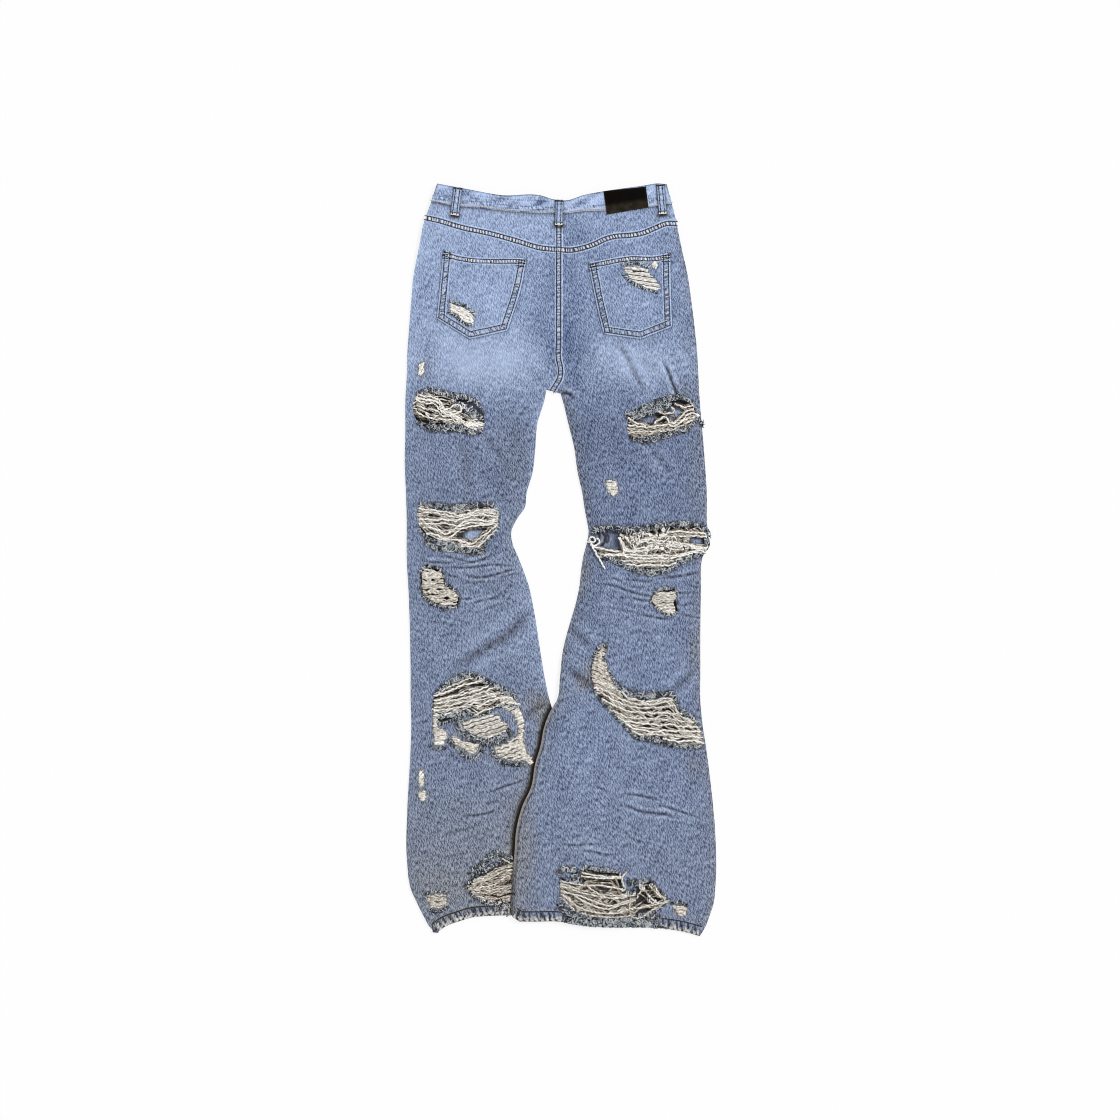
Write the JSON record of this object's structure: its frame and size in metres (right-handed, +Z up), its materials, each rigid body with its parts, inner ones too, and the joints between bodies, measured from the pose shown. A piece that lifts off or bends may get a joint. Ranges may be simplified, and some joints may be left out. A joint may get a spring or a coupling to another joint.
{
  "type": "ripped jeans",
  "caption": "Flared five-pocket jeans with large rips, laid flat with the back up and one leg crossed over the other.",
  "frame": {"origin": "on the surface, under the middle of the box of the laid garment", "axes": "+X towards the wearer's right, +Y along the length towards the waist, +Z up out of the back of the garment"},
  "size_m": [0.478, 1.158, 0.0107],
  "materials": {
    "denim": "washed blue cotton twill, worn and faded",
    "yarn": "undyed cotton weft yarns, frayed",
    "thread": "dark brown polyester topstitching thread",
    "leather": "plain black leather, satin",
    "zip": "brass chain on cotton tape",
    "button": "aged brass, satin"
  },
  "bodies": {
    "root": {"waistband_back": "denim", "waistband_front_left": "denim", "waistband_front_right": "denim", "yoke_left": "denim", "yoke_right": "denim", "back_leg_left": "denim", "back_leg_right": "denim", "front_leg_left": "denim", "front_leg_right": "denim", "front_pocket_left": "denim", "front_pocket_right": "denim", "back_pocket_left": "denim", "back_pocket_right": "denim", "belt_loop_back_left": "denim", "belt_loop_back_centre": "denim", "belt_loop_back_right": "denim", "belt_loop_front_left": "denim", "belt_loop_front_right": "denim", "waist_patch": "leather", "fly_zip": "zip", "fly_button": "button", "rip_thigh_left": "yarn", "rip_knee_left": "yarn", "rip_below_knee_left": "yarn", "rip_shin_left": "yarn", "rip_hem_left": "yarn", "rip_thigh_right": "yarn", "rip_knee_right": "yarn", "rip_below_knee_right": "yarn", "rip_shin_right": "yarn", "rip_hem_right": "yarn"}
  },
  "joints": []
}
